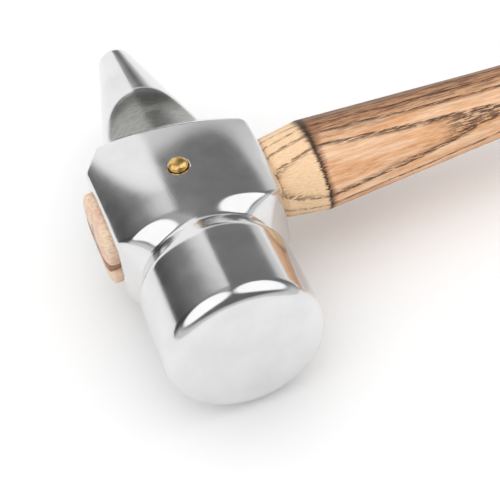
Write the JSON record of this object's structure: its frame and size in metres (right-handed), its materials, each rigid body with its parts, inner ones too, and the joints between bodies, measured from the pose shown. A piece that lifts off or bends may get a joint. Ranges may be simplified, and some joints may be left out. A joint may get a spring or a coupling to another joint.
{
  "type": "smith's hand hammer",
  "caption": "Forged steel hand hammer with a round striking face, a tapered round peen and an ash handle held by wedges and a brass cross pin.",
  "frame": {"origin": "centre of the round striking face", "axes": "+Y through the head from the striking face to the peen, +X along the handle to its butt, +Z out of the upper cheek of the head"},
  "size_m": [0.36, 0.1204, 0.042],
  "materials": {
    "head_steel": "forged and finely polished, soft reflections with faint grinding lines",
    "handle_ash": "flame scorched, brushed and oiled ash with dark open pores",
    "wedge_wood": "raw reddish brown hardwood end grain",
    "wedge_steel": "dull driven end of a plain steel wedge",
    "pin_brass": "polished domed ends"
  },
  "bodies": {
    "root": {"head": "head_steel", "handle": "handle_ash", "wooden_wedge": "wedge_wood", "steel_wedge": "wedge_steel", "brass_pin": "pin_brass"}
  },
  "joints": []
}
